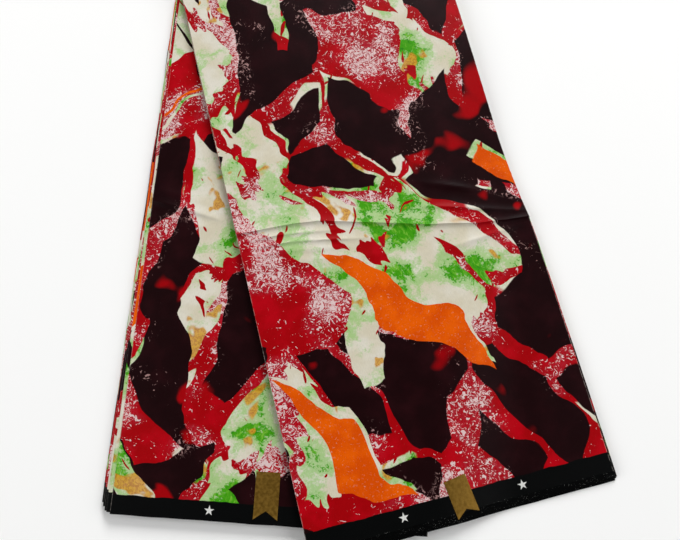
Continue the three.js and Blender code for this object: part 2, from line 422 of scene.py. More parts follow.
foldLevels = hidden["folds"] * len(hidden["levels"])
levelHeights = [(fold + t) / hidden["folds"] for fold in range(hidden["folds"]) for t in hidden["levels"]]
levelHeights.append(1.0)

armFront = stationList(upperCloth["toCrease"], *hidden["frontRows"])
armBack = stationList(lowerCloth["toCrease"], *hidden["backRows"])
hiddenRows = [("front", s) for s in reversed(armFront)] + [("front", upperCloth["atBend"])]
hiddenRows += [("bend", math.pi * n / hidden["bendSteps"]) for n in range(hidden["bendSteps"] + 1)]
hiddenRows += [("tuck", hidden["tuckAt"]), ("back", lowerCloth["atBend"])] + [("back", s) for s in armBack]


def addLattice(name, across, along, through):
    bpy.ops.object.select_all(action="DESELECT")
    bpy.ops.mesh.primitive_cube_add(size=1, location=(0, 0, 0))
    piece = bpy.context.object
    piece.name = name
    piece.data.name = name
    bpy.ops.object.mode_set(mode="EDIT")
    bpy.ops.mesh.select_mode(type="EDGE")
    for axis, parts in ((2, through), (0, across), (1, along)):
        for count in parts:
            bpy.ops.mesh.select_all(action="DESELECT")
            bpy.ops.object.mode_set(mode="OBJECT")
            mesh = piece.data
            for edge in mesh.edges:
                first, second = (mesh.vertices[n].co for n in edge.vertices)
                edge.select = abs(first[axis] - second[axis]) > tiny
            bpy.ops.object.mode_set(mode="EDIT")
            bpy.ops.mesh.subdivide(number_cuts=count - 1)
    bpy.ops.object.mode_set(mode="OBJECT")
    return piece


# how the folds slip past each other along the arms
foldWander = {"front": 0.0007, "back": 0.0009, "scale": 5, "apart": 3.7, "frontSeed": 1.0, "backSeed": 6.0,
              "frontFrom": (0.5, 1.9), "bendShare": 0.6, "backFrom": (0.3, 2), "backStart": (0.05, 0.3)}


def wandered(value, fold, seed):
    return noise.noise(Vector((value * foldWander["scale"], fold * foldWander["apart"], seed)))


def foldSlip(fold, row):
    kind, value = row
    front, back = hidden["slips"][fold]
    if kind == "front":
        wander = foldWander["front"] * wandered(value, fold, foldWander["frontSeed"])
        return (front + wander) * ramp(value, *foldWander["frontFrom"])
    if kind == "bend":
        return back * foldWander["bendShare"] * value / math.pi
    wander = foldWander["back"] * wandered(value, fold, foldWander["backSeed"])
    grown = between(foldWander["bendShare"], 1, ramp(value, *foldWander["backFrom"]))
    return back * grown + wander * ramp(value, *foldWander["backStart"])


def sideInset(phase):
    return hidden["groove"] * (1 - math.sqrt(max(0.0, 1 - (2 * phase - 1) ** 2)))


# each ply ends at its own length, and a little unevenly
plyLength = {"shift": 0.0026, "step": 2.3, "shiftSeed": 0.5, "wave": 0.0006, "scale": 9, "waveStep": 1.9,
             "waveSeed": 5, "frontSeed": 1.0, "backSeed": 2.0}


def plyEnd(ply, share, seed):
    place = Vector((ply * plyLength["step"], seed, plyLength["shiftSeed"]))
    spot = Vector((share * plyLength["scale"], ply * plyLength["waveStep"], seed + plyLength["waveSeed"]))
    return noise.noise(place) * plyLength["shift"] + plyLength["wave"] * noise.noise(spot)


def hiddenPlace(share, row, level):
    height = levelHeights[level]
    fold = min(level // len(hidden["levels"]), hidden["folds"] - 1)
    phase = height * hidden["folds"] - fold
    groove = level % len(hidden["levels"]) == 0
    slip = foldSlip(fold, row)
    inset = sideInset(phase)
    if groove and 0 < level < foldLevels:
        other = foldSlip(fold - 1, row)
        inset += abs(slip - other) / 2
        slip = (slip + other) / 2
    if level in (0, foldLevels):
        inset += hidden["outerInset"]
    radius = between(innerRadius, leafRadius - hidden["under"], height)
    ply = fold * 2 + (phase >= hidden["middle"])
    plyGroove = hidden["endGroove"] if groove or abs(phase - hidden["middle"]) < tiny else 0.0
    kind, value = row
    edgeAway = ramp(min(share, 1 - share) * panel, *hidden["sunkSide"])
    if kind == "front":
        slip += laid["slideShare"] * math.pi * radius * math.sin(spread)
        across = slip + between(inset, panel - drawnIn(value) - inset, share)
        end = frontEnd(radius) - plyGroove + plyEnd(ply, share, plyLength["frontSeed"])
        down = stationDown(value, across * math.tan(spread), creaseDown(mainCrease, across), end)
        sunk = hidden["sunk"] * edgeAway * ramp(end - down, 0.0, hidden["sunkEnd"])
        base = frontFloor(across, down)
        top = base + laid["stack"] + laid["gap"] + laid["leaf"] - hidden["under"] - sunk
        top += hidden["creaseShare"] * awayFromBend(down) * creaseLift(frontCreases, across, down)
        x, y = frontPlan(across, down)
        return (x, y, between(base, top, height)), (across, frontEnd(radius) - down)
    if kind == "bend":
        slide = (laid["slideShare"] * math.pi - value) * radius * math.tan(spread)
        pulled = drawnIn(0) * (1 - value / math.pi)
        across = slip + between(inset, panel - pulled - inset, share)
        x, y = onPlan(across / math.cos(spread) + slide, radius * math.sin(value))
        travelled = frontEnd(radius) - across * math.tan(spread) + radius * value / math.cos(spread)
        return (x, y, axisHeight + radius * math.cos(value)), (across, travelled)
    slip -= (1 - laid["slideShare"]) * math.pi * radius * math.sin(spread)
    across = slip + between(inset, panel - inset, share)
    end = backEnd(radius) - plyGroove + plyEnd(ply, share, plyLength["backSeed"])
    down = stationDown(value, -across * math.tan(spread), lowerCreaseDown(across), end)
    sunk = hidden["sunk"] * edgeAway * ramp(end - down, 0.0, hidden["sunkEnd"])
    top = backTop - hidden["under"] - sunk * ramp(value, *hidden["sunkBend"])
    top = between(axisHeight - innerRadius, top, ramp(value, *hidden["slotCloses"]))
    top += hidden["creaseShare"] * creaseLift(backCreases, across, down) * uncovered(across)
    bottom = axisHeight - (leafRadius - hidden["under"]) if kind == "tuck" else 0.0
    x, y = backPlan(across, down)
    return (x, y, between(top, bottom, height)), (across, clothLength - (backEnd(radius) - down))


# the rows are cut in two rounds, because one round makes at most 100 cuts
def twoRounds(count):
    for size in range(20, 7, -1):
        if count % size == 0:
            return (count // size, size)
    return None


while twoRounds(len(hiddenRows) - 1) is None:
    hiddenRows.insert(2, (hiddenRows[1][0], (hiddenRows[1][1] + hiddenRows[2][1]) / 2))

plies = addLattice(hidden["name"], (hidden["across"],), twoRounds(len(hiddenRows) - 1), (foldLevels,))
foldMiddle = hidden["levels"].index(hidden["middle"])
mesh = plies.data
levelOf = []
spots = []
worn = mesh.attributes.new("worn", "FLOAT", "POINT")
for vertex in mesh.vertices:
    i = round((vertex.co.x + 0.5) * hidden["across"])
    j = round((vertex.co.y + 0.5) * (len(hiddenRows) - 1))
    k = round((vertex.co.z + 0.5) * foldLevels)
    vertex.co, spot = hiddenPlace(i / hidden["across"], hiddenRows[j], k)
    levelOf.append(k)
    spots.append(spot)
    # worn marks the outer fold lips, painted paler in the cotton: a painted highlight along the folds, and
    # wear
    onFold = i in (0, hidden["across"]) and k % len(hidden["levels"]) == foldMiddle
    worn.data[vertex.index].value = 1.0 if onFold else 0.0
layer = mesh.uv_layers.active
layer.name = "cloth"
for face in mesh.polygons:
    middle = sum(levelOf[n] for n in face.vertices) / len(face.vertices)
    fold = min(int(middle // len(hidden["levels"])), hidden["folds"] - 1)
    for loop in face.loop_indices:
        spot = spots[mesh.loops[loop].vertex_index]
        layer.data[loop].uv = (hidden["printAt"] + hidden["printStep"] * fold + spot[0], spot[1])
bpy.ops.object.mode_set(mode="EDIT")
bpy.ops.mesh.select_all(action="SELECT")
bpy.ops.mesh.normals_make_consistent(inside=False)
bpy.ops.object.mode_set(mode="OBJECT")
bpy.ops.object.shade_smooth_by_angle(angle=math.radians(hidden["smooth"]))
print("hidden plies folded", len(mesh.polygons))


# foil labels stuck over the cloth near both selvedges
labels = {
    "upperLabel": {"across": 0.1416, "down": 0.5889, "tilt": 7.2, "width": 0.0225, "length": 0.0365,
                   "notch": 0.0062, "over": "upper"},
    "lowerLabel": {"across": 0.1369, "down": 0.5184, "tilt": 0.8, "width": 0.0235, "length": 0.0442,
                   "notch": 0.0080, "over": "lower"},
}
labelFoil = {"across": 24, "down": 40, "wall": 0.00014, "lift": 0.00012, "insideEnd": 0.001,
             "crumple": 0.00018, "crumpleScale": (260, 170), "tip": 0.0009, "tipRun": 0.2}


def addLabel(name, label):
    piece = addGrid(name, labelFoil["across"], labelFoil["down"])
    tilt = math.radians(label["tilt"])
    leafEnd = (frontEnd(leafRadius) if label["over"] == "upper" else backEnd(0)) - labelFoil["insideEnd"]
    scaleAcross, scaleDown = labelFoil["crumpleScale"]
    for vertex in piece.data.vertices:
        share = vertex.co.x + 0.5
        run = 0.5 - vertex.co.y
        tail = label["notch"] * (1 - abs(2 * share - 1))
        reach = (label["length"] - tail) * run
        side = label["width"] * share
        across = label["across"] + side * math.cos(tilt) + reach * math.sin(tilt)
        down = label["down"] - side * math.sin(tilt) + reach * math.cos(tilt)
        held = min(down, leafEnd)
        if label["over"] == "upper":
            x, y = frontPlan(across, down)
            z = frontTop(across, held)
        else:
            x, y = backPlan(across, down)
            z = backTopAt(across, held)
        wrinkle = abs(noise.noise(Vector((side * scaleAcross, reach * scaleDown, label["tilt"]))))
        tip = max(0.0, run - (1 - labelFoil["tipRun"])) / labelFoil["tipRun"] * abs(2 * share - 1)
        z += labelFoil["lift"] + labelFoil["crumple"] * wrinkle + labelFoil["tip"] * tip * tip
        vertex.co = (x, y, z)
    applied(piece, "SOLIDIFY", thickness=labelFoil["wall"], offset=1, use_even_offset=True)
    bpy.ops.object.shade_smooth_by_angle(angle=leafSmooth)
    return piece


upperLabel = addLabel("upperLabel", labels["upperLabel"])
lowerLabel = addLabel("lowerLabel", labels["lowerLabel"])
print("labels stuck on")


def put(tree, kind, settings=None, inputs=None):
    node = tree.nodes.new("ShaderNode" + kind)
    for key, value in (settings or {}).items():
        setattr(node, key, value)
    for key, value in (inputs or {}).items():
        if isinstance(value, bpy.types.NodeSocket):
            tree.links.new(value, node.inputs[key])
        else:
            node.inputs[key].default_value = value
    return node


def calc(tree, operation, first, second=None):
    inputs = {0: first}
    if second is not None:
        inputs[1] = second
    return put(tree, "Math", {"operation": operation}, inputs).outputs[0]


def swung(tree, value, middle, size):
    return calc(tree, "MULTIPLY", calc(tree, "SUBTRACT", value, middle), size)


def both(tree, *masks):
    result = masks[0]
    for mask in masks[1:]:
        result = calc(tree, "MULTIPLY", result, mask)
    return result


def moved(tree, vector, offset):
    return put(tree, "VectorMath", {"operation": "ADD"}, {0: vector, 1: offset}).outputs[0]


def edgeStep(tree, value, low, high):
    settings = {"interpolation_type": "SMOOTHSTEP", "clamp": True}
    return put(tree, "MapRange", settings, {"Value": value, "From Min": low, "From Max": high}).outputs[0]


def ranged(tree, value, taken, given):
    inputs = {"Value": value, "From Min": taken[0], "From Max": taken[1],
              "To Min": given[0], "To Max": given[1]}
    return put(tree, "MapRange", {"clamp": True}, inputs).outputs[0]


def painted(tree, mask, under, over, strength=1.0):
    if strength < 1:
        mask = calc(tree, "MULTIPLY", mask, strength)
    return put(tree, "Mix", {"data_type": "RGBA"}, {0: mask, 6: under, 7: over}).outputs[2]


def cloudy(tree, vector, scale, detail=2.0, roughness=0.5, distortion=0.0, offset=None, output="Fac"):
    if offset:
        vector = moved(tree, vector, offset)
    inputs = {"Vector": vector, "Scale": scale, "Detail": detail, "Roughness": roughness,
              "Distortion": distortion}
    return put(tree, "TexNoise", None, inputs).outputs[output]


def wobbled(tree, vector, scale, size, detail=2.0, offset=(0, 0, 0)):
    field = cloudy(tree, vector, scale, detail, offset=offset, output="Color")
    centred = put(tree, "VectorMath", {"operation": "SUBTRACT"}, {0: field, 1: (0.5, 0.5, 0.5)}).outputs[0]
    push = put(tree, "VectorMath", {"operation": "SCALE"}, {0: centred, "Scale": size}).outputs[0]
    return put(tree, "VectorMath", {"operation": "ADD"}, {0: vector, 1: push}).outputs[0]


def stretched(tree, vector, angle, stretch):
    inputs = {"Vector": vector, "Rotation": (0, 0, math.radians(angle)), "Scale": stretch}
    return put(tree, "Mapping", {"vector_type": "TEXTURE"}, inputs).outputs[0]


def patches(tree, vector, scale):
    inputs = {"Vector": vector, "Scale": scale, "Randomness": 1.0}
    colour = put(tree, "TexVoronoi", {"voronoi_dimensions": "2D"}, inputs).outputs["Color"]
    settings = {"voronoi_dimensions": "2D", "feature": "DISTANCE_TO_EDGE"}
    edge = put(tree, "TexVoronoi", settings, inputs).outputs["Distance"]
    return put(tree, "SeparateColor", None, {0: colour}).outputs, edge


def ink(red, green, blue):
    parts = [value / 255 for value in (red, green, blue)]
    return tuple(v / 12.92 if v <= 0.04045 else ((v + 0.055) / 1.055) ** 2.4 for v in parts) + (1.0,)


waxPrint = {
    "red": ink(158, 1, 8),
    "redCloud": ink(178, 2, 18),
    "pink": ink(186, 70, 92),
    "speck": ink(214, 168, 164),
    "dark": ink(24, 4, 6),
    "darkCloud": ink(36, 8, 12),
    "cream": ink(208, 200, 177),
    "white": ink(219, 214, 200),
    "crackle": ink(226, 208, 206),
    "paleGreen": ink(148, 194, 112),
    "green": ink(60, 152, 4),
    "midGreen": ink(120, 184, 54),
    "deepGreen": ink(22, 120, 1),
    "orange": ink(228, 92, 1),
    "orangeCloud": ink(212, 76, 0),
    "ochre": ink(208, 154, 48),
    "ochreDeep": ink(178, 116, 24),
    "selvedge": ink(5, 6, 6),
    "mark": ink(214, 214, 210),
    "patchScale": 11.6,
    "darkShare": 0.47,         # of the patches
    "creamUpTo": 0.80,
    "rimsOver": 0.55,
    "thornScale": 14.0,
    "thornsOver": 0.84,
    "sliversUnder": 0.12,
    "barScale": 15.0,
    "barsOver": 0.85,
    "barShade": (-0.006, -0.002, 0),
    "crackleZone": (0.43, 0.63),
    "crackleLevel": (0.20, 0.032),
    "speckLess": 0.07,
    "selvedgeWidth": 0.0183,
    "selvedgeSoft": 0.0003,
    "starEvery": 0.12,
    "starFrom": 0.095,
    "starHeight": 0.0095,
    "star": 0.005,
    "starSoft": 0.04,
    "starSlope": 3.078,
    "starPoints": 5,
}

# how strongly each ink covers the one under it
cover = {"pink": 0.34, "crackle": 0.84, "paleGreen": 0.78, "midGreen": 0.9, "deepGreen": 0.8, "green": 0.98,
         "ochre": 0.9, "specks": 0.5, "orangeFleck": 0.35, "fray": 0.55}

# how the drawing is pushed about
warps = {
    "bent": {"scale": 7.0, "size": 0.085, "detail": 1.0},
    "torn": {"scale": 30.0, "size": 0.02, "detail": 1.5, "offset": (3, 1, 0)},
    "crisp": {"scale": 130.0, "size": 0.0016, "offset": (7, 2, 0)},
    "fleck": {"scale": 300.0, "size": 0.004},
    "curls": {"scale": 90.0, "size": 0.012, "offset": (2, 2, 0)},
    "marble": {"scale": 48.0, "size": 0.024, "detail": 3.0},
    "brushed": {"scale": 120.0, "size": 0.006},
    "thorns": {"scale": 9.0, "size": 0.045, "detail": 1.0, "offset": (4, 4, 0)},
    "bars": {"scale": 10.0, "size": 0.04, "detail": 1.0},
}

# which way the brush goes, and how long its strokes are
strokes = {
    "patches": {"angle": 32, "stretch": (0.72, 1.3, 1)},
    "combed": {"angle": 32, "stretch": (0.55, 2.0, 1)},
    "drips": {"angle": -35, "stretch": (0.5, 1.9, 1)},
    "brushed": {"angle": 20, "stretch": (0.6, 1.5, 1)},
    "thorns": {"angle": -18, "stretch": (0.8, 2.1, 1)},
    "bars": {"angle": 36, "stretch": (0.7, 2.7, 1)},
}

# clouds and flecks that the inks follow
hazes = {
    "swell": {"scale": 12.0, "detail": 1.0, "offset": (1, 6, 0)},
    "cloud": {"scale": 34.0, "detail": 3.0},
    "fleck": {"scale": 420.0, "detail": 3.0, "roughness": 0.6, "distortion": 0.6},
    "zone": {"scale": 14.0, "roughness": 0.6, "offset": (5, 5, 0)},
    "curls": {"scale": 205.0, "detail": 2.5, "roughness": 0.58, "distortion": 1.2},
    "combed": {"scale": 46.0, "detail": 1.0},
    "marble": {"scale": 24.0, "detail": 5.0, "roughness": 0.55, "distortion": 0.5},
    "washed": {"scale": 13.0, "offset": (8, 3, 0)},
    "rust": {"scale": 20.0, "detail": 3.0, "roughness": 0.6, "offset": (9, 4, 0)},
    "drips": {"scale": 62.0, "detail": 1.0},
    "brushed": {"scale": 150.0, "detail": 3.0, "roughness": 0.65, "distortion": 0.6},
    "glow": {"scale": 20.0, "detail": 1.6, "roughness": 0.45, "offset": (2, 8, 0)},
    "side": {"scale": 16.0, "detail": 1.0, "offset": (6, 1, 0)},
    "waver": {"scale": 60.0},
    "fray": {"scale": 900.0, "roughness": 0.7},
}

# middle and size of what a haze adds to another one
swings = {"fingers": (0.52, 0.6), "washed": (0.5, 0.7), "mottled": (0.5, 0.26), "swell": (0.32, 0.42),
          "waver": (0.5, 0.003)}

# where the soft edge of each ink starts and ends
softEdges = {
    "redCloud": (0.45, 0.7),
    "rubbedZone": (0.45, 0.62),
    "rubbedFleck": (0.35, 0.6),
    "crackle": (0.0, 0.024),
    "creamPatch": (0.062, 0.072),
    "whiteCloud": (0.35, 0.65),
    "paleGreen": (0.44, 0.56),
    "green": (0.585, 0.635),
    "midGreen": (0.50, 0.66),
    "deepGreen": (0.44, 0.34),
    "ochreFleck": (0.42, 0.56),
    "ochre": (0.62, 0.655),
    "drips": (0.70, 0.712),
    "darkPatch": (0.022, 0.032),
    "darkCloud": (0.4, 0.75),
    "glow": (0.64, 0.70),
    "specks": (0.0, 0.02),
    "speckRim": (0.13, 0.03),
    "rim": (-0.028, -0.018),
    "rimSide": (0.52, 0.56),
    "thorn": (0.12, 0.13),
    "sliver": (0.17, 0.18),
    "bar": (0.134, 0.139),
    "orangeCloud": (0.4, 0.62),
    "orangeFleck": (0.60, 0.72),
    "frayRow": (0.0011, 0.0002),
    "fray": (0.64, 0.69),
    "frayCloud": (0.44, 0.56),
}


def warped(tree, vector, name):
    return wobbled(tree, vector, **warps[name])


def stroked(tree, vector, name):
    return stretched(tree, vector, **strokes[name])


def hazy(tree, vector, name):
    return cloudy(tree, vector, **hazes[name])


def softEdge(tree, value, name):
    return edgeStep(tree, value, *softEdges[name])


# red ground, rubbed pale in places, with fine wax crackle
def redGround(tree, zone, lace, level, cloud, fleck):
    ground = painted(tree, softEdge(tree, cloud, "redCloud"), waxPrint["red"], waxPrint["redCloud"])
    crackle = softEdge(tree, calc(tree, "SUBTRACT", lace, level), "crackle")
    rubbed = both(tree, softEdge(tree, zone, "rubbedZone"), softEdge(tree, fleck, "rubbedFleck"))
    ground = painted(tree, rubbed, ground, waxPrint["pink"], cover["pink"])
    return painted(tree, crackle, ground, waxPrint["crackle"], cover["crackle"])


# cream, washed green and ochre, with red drips
def washedCream(tree, cloth, torn, cloud, fleck):
    marble = hazy(tree, warped(tree, cloth, "marble"), "marble")
    washed = hazy(tree, cloth, "washed")
    marble = calc(tree, "ADD", marble, swung(tree, washed, *swings["washed"]))
    mottled = calc(tree, "ADD", marble, swung(tree, fleck, *swings["mottled"]))
    brushed = hazy(tree, stroked(tree, warped(tree, cloth, "brushed"), "brushed"), "brushed")
    green = painted(tree, softEdge(tree, brushed, "midGreen"), waxPrint["green"], waxPrint["midGreen"],
                    cover["midGreen"])
    green = painted(tree, softEdge(tree, brushed, "deepGreen"), green, waxPrint["deepGreen"],
                    cover["deepGreen"])
    rust = hazy(tree, torn, "rust")
    drips = hazy(tree, stroked(tree, torn, "drips"), "drips")
    ochre = painted(tree, softEdge(tree, fleck, "ochreFleck"), waxPrint["ochreDeep"], waxPrint["ochre"])
    cream = painted(tree, softEdge(tree, cloud, "whiteCloud"), waxPrint["cream"], waxPrint["white"])
    cream = painted(tree, softEdge(tree, mottled, "paleGreen"), cream, waxPrint["paleGreen"],
                    cover["paleGreen"])
    cream = painted(tree, softEdge(tree, mottled, "green"), cream, green, cover["green"])
    cream = painted(tree, softEdge(tree, rust, "ochre"), cream, ochre, cover["ochre"])
    return painted(tree, softEdge(tree, drips, "drips"), cream, waxPrint["red"])


# dark, with a soft red glow and rubbed rims
def glowingDark(tree, torn, cloud, inner, lace, level):
    glow = hazy(tree, torn, "glow")
    dark = painted(tree, softEdge(tree, cloud, "darkCloud"), waxPrint["dark"], waxPrint["darkCloud"])
    dark = painted(tree, softEdge(tree, glow, "glow"), dark, waxPrint["red"])
    rarer = calc(tree, "ADD", level, waxPrint["speckLess"])
    sparse = softEdge(tree, calc(tree, "SUBTRACT", lace, rarer), "specks")
    specks = both(tree, sparse, softEdge(tree, inner, "speckRim"))
    return painted(tree, specks, dark, waxPrint["speck"], cover["specks"])


# orange bars, cream along one side
def orangeBars(tree, crisp, colour, cream, cloud, fleck):
    bars = stroked(tree, warped(tree, crisp, "bars"), "bars")
    shade = moved(tree, bars, waxPrint["barShade"])
    barPick, barEdge = patches(tree, bars, waxPrint["barScale"])
    shadePick, shadeEdge = patches(tree, shade, waxPrint["barScale"])
    rim = both(tree, calc(tree, "GREATER_THAN", shadePick[1], waxPrint["barsOver"]),
               softEdge(tree, shadeEdge, "bar"))
    bar = both(tree, calc(tree, "GREATER_THAN", barPick[1], waxPrint["barsOver"]),
               softEdge(tree, barEdge, "bar"))
    orange = painted(tree, softEdge(tree, cloud, "orangeCloud"), waxPrint["orangeCloud"],
                     waxPrint["orange"])
    orange = painted(tree, softEdge(tree, fleck, "orangeFleck"), orange, waxPrint["cream"],
                     cover["orangeFleck"])
    colour = painted(tree, rim, colour, cream)
    return painted(tree, bar, colour, orange)


# black selvedge bands along both long edges of the cloth, with plain stars and frayed ends
def selvedges(tree, cloth, colour, cloud):
    across, along = put(tree, "SeparateXYZ", None, {0: cloth}).outputs[:2]
    inward = calc(tree, "MINIMUM", along, calc(tree, "SUBTRACT", clothLength, along))
    band = calc(tree, "ADD", inward, swung(tree, hazy(tree, cloth, "waver"), *swings["waver"]))
    width = waxPrint["selvedgeWidth"]
    soft = waxPrint["selvedgeSoft"]
    colour = painted(tree, edgeStep(tree, band, width + soft, width - soft), colour, waxPrint["selvedge"])

    every = waxPrint["starEvery"]
    run = calc(tree, "MODULO", calc(tree, "SUBTRACT", across, waxPrint["starFrom"]), every)
    aside = calc(tree, "SUBTRACT", run, every / 2)
    height = calc(tree, "SUBTRACT", inward, waxPrint["starHeight"])
    squares = calc(tree, "ADD", calc(tree, "POWER", aside, 2.0), calc(tree, "POWER", height, 2.0))
    away = calc(tree, "SQRT", squares)
    wedge = calc(tree, "PINGPONG", calc(tree, "ARCTAN2", aside, height), math.pi / waxPrint["starPoints"])
    slope = calc(tree, "MULTIPLY", calc(tree, "SINE", wedge), waxPrint["starSlope"])
    points = calc(tree, "ADD", calc(tree, "COSINE", wedge), slope)
    size = waxPrint["star"]
    soft = waxPrint["starSoft"]
    star = edgeStep(tree, calc(tree, "MULTIPLY", away, points), size * (1 + soft), size * (1 - soft))
    colour = painted(tree, star, colour, waxPrint["mark"])

    threads = softEdge(tree, hazy(tree, cloth, "fray"), "fray")
    frayed = both(tree, softEdge(tree, inward, "frayRow"), threads, softEdge(tree, cloud, "frayCloud"))
    return painted(tree, frayed, colour, waxPrint["mark"], cover["fray"])


def waxPrintColour(tree, cloth):
    torn = warped(tree, warped(tree, cloth, "bent"), "torn")
    crisp = warped(tree, torn, "crisp")
    pick, edge = patches(tree, stroked(tree, crisp, "patches"), waxPrint["patchScale"])
    cloud = hazy(tree, cloth, "cloud")
    fleck = hazy(tree, warped(tree, cloth, "fleck"), "fleck")
    zone = hazy(tree, torn, "zone")
    curls = hazy(tree, warped(tree, cloth, "curls"), "curls")
    lace = calc(tree, "ABSOLUTE", calc(tree, "SUBTRACT", curls, 0.5))
    level = ranged(tree, zone, waxPrint["crackleZone"], waxPrint["crackleLevel"])
    inner = calc(tree, "SUBTRACT", edge, swung(tree, hazy(tree, cloth, "swell"), *swings["swell"]))
    cream = washedCream(tree, cloth, torn, cloud, fleck)
    dark = glowingDark(tree, torn, cloud, inner, lace, level)
    colour = redGround(tree, zone, lace, level, cloud, fleck)

    # cream patches, torn into fingers at their edges
    combed = hazy(tree, stroked(tree, torn, "combed"), "combed")
    reach = calc(tree, "ADD", edge, swung(tree, combed, *swings["fingers"]))
    isCream = both(tree, calc(tree, "GREATER_THAN", pick[0], waxPrint["darkShare"]),
                   calc(tree, "LESS_THAN", pick[0], waxPrint["creamUpTo"]))
    colour = painted(tree, both(tree, isCream, softEdge(tree, reach, "creamPatch")), colour, cream)

    # dark patches, some with a cream rim along one side
    isDark = calc(tree, "LESS_THAN", pick[0], waxPrint["darkShare"])
    isRimmed = both(tree, isDark, calc(tree, "GREATER_THAN", pick[1], waxPrint["rimsOver"]))
    rim = both(tree, isRimmed, softEdge(tree, inner, "rim"),
               softEdge(tree, hazy(tree, cloth, "side"), "rimSide"))
    colour = painted(tree, rim, colour, cream)
    colour = painted(tree, both(tree, isDark, softEdge(tree, inner, "darkPatch")), colour, dark)

    # dark thorns and cream slivers drawn across
    thorns = stroked(tree, warped(tree, crisp, "thorns"), "thorns")
    thornPick, thornEdge = patches(tree, thorns, waxPrint["thornScale"])
    thorn = both(tree, calc(tree, "GREATER_THAN", thornPick[0], waxPrint["thornsOver"]),
                 softEdge(tree, thornEdge, "thorn"))
    sliver = both(tree, calc(tree, "LESS_THAN", thornPick[2], waxPrint["sliversUnder"]),
                  softEdge(tree, thornEdge, "sliver"))
    colour = painted(tree, thorn, colour, dark)
    colour = painted(tree, sliver, colour, cream)

    colour = orangeBars(tree, crisp, colour, cream, cloud, fleck)
    return selvedges(tree, cloth, colour, cloud)


cottonFinish = {
    "roughness": (0.44, 0.58),
    "roughNoise": {"scale": 45.0, "detail": 3.0},
    # pale colour painted along the rolled fold edges: a painted highlight, and wear
    "foldWearAndHighlight": ink(214, 204, 194),
    "wornNoise": {"scale": 150.0, "detail": 3.0, "roughness": 0.6},
    "wornEdge": (0.38, 0.56),
    "foldWearAndHighlightCover": 0.3,
    "glaze": 0.06,
    "gloss": 0.025,
    "glazeRoughness": 0.3,
    "threads": 2300.0,         # a metre
    "threadWobble": 0.6,
    "threadShade": (0.9, 1.05),
    "weave": 0.00004,
    "weaveStrength": 0.6,
    "slub": 0.00005,
    "slubStrength": 0.7,
    "slubNoise": {"scale": 240.0, "detail": 3.0, "roughness": 0.6},
    "slubStretch": (0.2, 1.0, 1),
    "slubShade": (0.94, 1.05),
    "noiseRange": (0.3, 0.7),
}


def threadWave(tree, cloth, direction):
    scale = cottonFinish["threads"] * math.pi / 10     # a wave band is 20 radians a unit
    inputs = {"Vector": cloth, "Scale": scale, "Distortion": cottonFinish["threadWobble"], "Detail": 0.0}
    settings = {"bands_direction": direction, "wave_profile": "SIN"}
    return put(tree, "TexWave", settings, inputs).outputs["Fac"]


def emptyMaterial(name):
    material = bpy.data.materials.new(name)
    material.use_nodes = True
    material.node_tree.nodes.clear()
    return material, material.node_tree


def makeCotton():
    material, tree = emptyMaterial("printedCotton")
    cloth = put(tree, "UVMap", {"uv_map": "cloth"}).outputs[0]
    colour = waxPrintColour(tree, cloth)
    # the rolled fold edges are painted paler in patches: a painted highlight along the folds, and wear
    foldEdges = put(tree, "Attribute", {"attribute_name": "worn"}).outputs["Fac"]
    patchy = edgeStep(tree, cloudy(tree, cloth, **cottonFinish["wornNoise"]), *cottonFinish["wornEdge"])
    colour = painted(tree, both(tree, foldEdges, patchy), colour, cottonFinish["foldWearAndHighlight"],
                     cottonFinish["foldWearAndHighlightCover"])
    threads = calc(tree, "ADD", threadWave(tree, cloth, "X"), threadWave(tree, cloth, "Y"))
    threads = calc(tree, "MULTIPLY", threads, 0.5)
    slubs = stretched(tree, cloth, 0, cottonFinish["slubStretch"])
    slub = cloudy(tree, slubs, **cottonFinish["slubNoise"])
    weaveBump = put(tree, "Bump", None, {
        "Strength": cottonFinish["weaveStrength"], "Distance": cottonFinish["weave"], "Height": threads})
    slubBump = put(tree, "Bump", None, {
        "Strength": cottonFinish["slubStrength"], "Distance": cottonFinish["slub"], "Height": slub,
        "Normal": weaveBump.outputs[0]})
    worn = cloudy(tree, cloth, **cottonFinish["roughNoise"])
    rough = ranged(tree, worn, cottonFinish["noiseRange"], cottonFinish["roughness"])
    slubShade = ranged(tree, slub, cottonFinish["noiseRange"], cottonFinish["slubShade"])
    threadShade = ranged(tree, threads, (0, 1), cottonFinish["threadShade"])
    shade = calc(tree, "MULTIPLY", slubShade, threadShade)
    tinted = put(tree, "VectorMath", {"operation": "SCALE"}, {0: colour, "Scale": shade}).outputs[0]
    shader = put(tree, "BsdfPrincipled", None, {
        "Base Color": tinted, "Roughness": rough, "Normal": slubBump.outputs[0],
        "Coat Weight": cottonFinish["glaze"], "Coat Roughness": cottonFinish["glazeRoughness"],
        "Coat Normal": slubBump.outputs[0], "Specular IOR Level": cottonFinish["gloss"]})
    put(tree, "OutputMaterial", None, {"Surface": shader.outputs[0]})
    return material


foilFinish = {
    "gold": ink(136, 103, 36),
    "worn": ink(122, 90, 26),
    "wornEdge": (0.38, 0.62),
    "scuffs": {"scale": 340.0, "detail": 4.0, "roughness": 0.6},
    "noiseRange": (0.3, 0.7),
    "roughness": (0.32, 0.54),
    "metal": 0.75,
    "grainScale": 1500.0,
    "grain": 0.00008,
    "grainStrength": 0.35,
}


